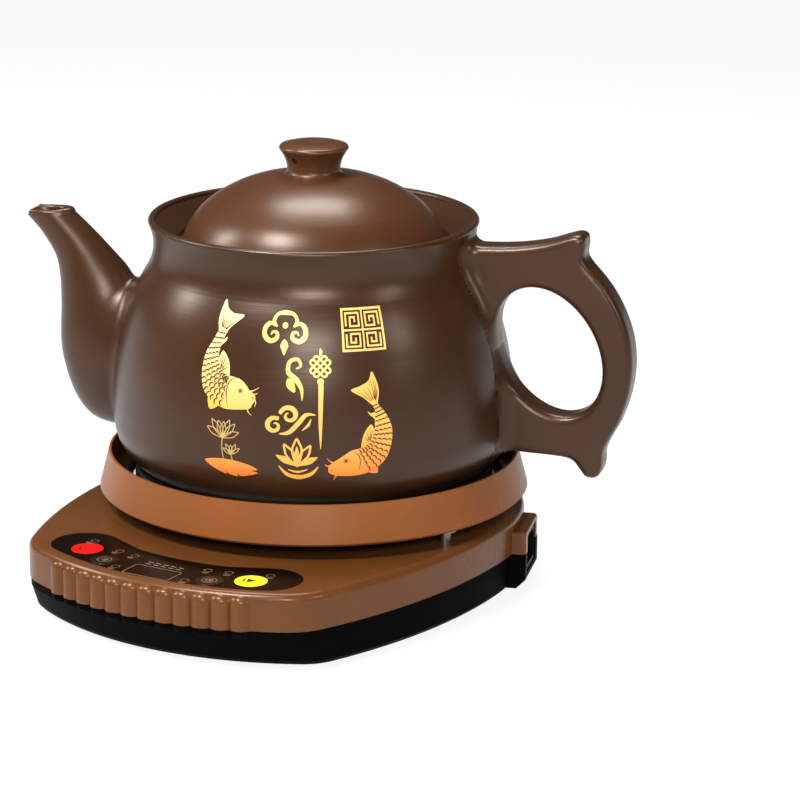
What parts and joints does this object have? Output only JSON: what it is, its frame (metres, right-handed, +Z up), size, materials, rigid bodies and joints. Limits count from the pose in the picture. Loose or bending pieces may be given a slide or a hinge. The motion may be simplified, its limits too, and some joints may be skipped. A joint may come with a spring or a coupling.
{
  "type": "electric herbal medicine pot",
  "caption": "Stoneware decoction pot with spout, ear handle and lift-off lid, standing on a raised heater ring above a moulded base with a crescent control panel and a mains inlet.",
  "frame": {"origin": "the table plane below the heater's axis, on which the four feet stand", "axes": "+Z up along the heater's axis; the control panel faces -Y; the pot's handle points to +X, turned 14.5 degrees towards +Y"},
  "size_m": [0.3268, 0.2857, 0.2361],
  "materials": {
    "stoneware": "satin glazed stoneware",
    "stoneware_spout": "satin glazed stoneware",
    "stoneware_handle": "satin glazed stoneware",
    "stoneware_lid": "satin glazed stoneware",
    "ring_paint": "satin copper-brown paint",
    "pan_steel": "plain sheet steel",
    "insulation": "mica and fibre sheet",
    "element_steel": "oxidised tube",
    "plate_iron": "grey cast plate",
    "cover_plastic": "glossy brown plastic",
    "housing_plastic": "black plastic",
    "overlay_plastic": "black gloss",
    "display_glass": "dark window",
    "key_red": "red key",
    "key_yellow": "yellow key",
    "key_black": "dark key",
    "board_green": "printed board",
    "component_black": "component case",
    "component_core": "laminated core",
    "lamp_lens": "indicator lens",
    "post_steel": "plated steel",
    "column_black": "black tube",
    "sensor_steel": "polished cap",
    "spring_steel": "spring wire",
    "lead_sleeve": "glass-fibre sleeve",
    "socket_black": "moulded inlet",
    "pin_brass": "plated pin",
    "foot_rubber": "soft rubber",
    "screw_steel": "plated screw"
  },
  "bodies": {
    "base": {"heater_ring": "ring_paint", "heater_pan": "pan_steel", "insulation_disc": "insulation", "heating_element": "element_steel", "hot_plate": "plate_iron", "thermal_fuse": "element_steel", "cable_column": "column_black", "sensor_guide": "post_steel", "sensor_spring": "spring_steel", "heater_lead_1": "lead_sleeve", "heater_lead_2": "lead_sleeve", "top_cover": "cover_plastic", "panel_overlay": "overlay_plastic", "display_module": "display_glass", "control_board": "board_green", "lower_housing": "housing_plastic", "inlet_socket": "socket_black", "power_board": "board_green", "transformer": "component_core", "relay": "component_black", "buzzer": "component_black", "heater_terminal": "component_black", "mains_terminal": "component_black", "tact_switch_1": "component_black", "foot_1": "foot_rubber", "base_screw_1": "screw_steel", "tact_switch_2": "component_black", "foot_2": "foot_rubber", "base_screw_2": "screw_steel", "tact_switch_3": "component_black", "foot_3": "foot_rubber", "base_screw_3": "screw_steel", "tact_switch_4": "component_black", "foot_4": "foot_rubber", "base_screw_4": "screw_steel", "lamp_1": "lamp_lens", "lamp_2": "lamp_lens", "lamp_3": "lamp_lens", "lamp_4": "lamp_lens", "lamp_5": "lamp_lens", "lamp_6": "lamp_lens", "lamp_7": "lamp_lens", "lamp_8": "lamp_lens", "inlet_pin_1": "pin_brass", "standoff_post_1": "post_steel", "inlet_pin_2": "pin_brass", "standoff_post_2": "post_steel", "inlet_pin_3": "pin_brass", "standoff_post_3": "post_steel"},
    "pot": {"pot_body": "stoneware", "pot_spout": "stoneware_spout", "pot_handle": "stoneware_handle"},
    "lid": {"lid": "stoneware_lid"},
    "stop_key": {"key_stop": "key_red"},
    "function_key": {"key_function": "key_black"},
    "timer_key": {"key_timer": "key_black"},
    "start_key": {"key_start": "key_yellow"},
    "sensor": {"sensor_cap": "sensor_steel"}
  },
  "joints": [
    {"name": "pot_lift", "type": "slide", "parent": "base", "child": "pot", "axis": [0, 0, 1], "range_m": [0, 0.12]},
    {"name": "lid_lift", "type": "slide", "parent": "pot", "child": "lid", "axis": [0, 0, 1], "range_m": [0, 0.08]},
    {"name": "stop_press", "type": "slide", "parent": "base", "child": "stop_key", "axis": [0, 0, -1], "range_m": [0, 0.0005], "stiffness_N_per_m": 500, "springref_m": -0.002},
    {"name": "function_press", "type": "slide", "parent": "base", "child": "function_key", "axis": [0, 0, -1], "range_m": [0, 0.0005], "stiffness_N_per_m": 500, "springref_m": -0.002},
    {"name": "timer_press", "type": "slide", "parent": "base", "child": "timer_key", "axis": [0, 0, -1], "range_m": [0, 0.0005], "stiffness_N_per_m": 500, "springref_m": -0.002},
    {"name": "start_press", "type": "slide", "parent": "base", "child": "start_key", "axis": [0, 0, -1], "range_m": [0, 0.0005], "stiffness_N_per_m": 500, "springref_m": -0.002},
    {"name": "sensor_press", "type": "slide", "parent": "base", "child": "sensor", "axis": [0, 0, -1], "range_m": [0, 0.002], "stiffness_N_per_m": 300, "springref_m": -0.003, "deforming": ["sensor_spring"]}
  ]
}
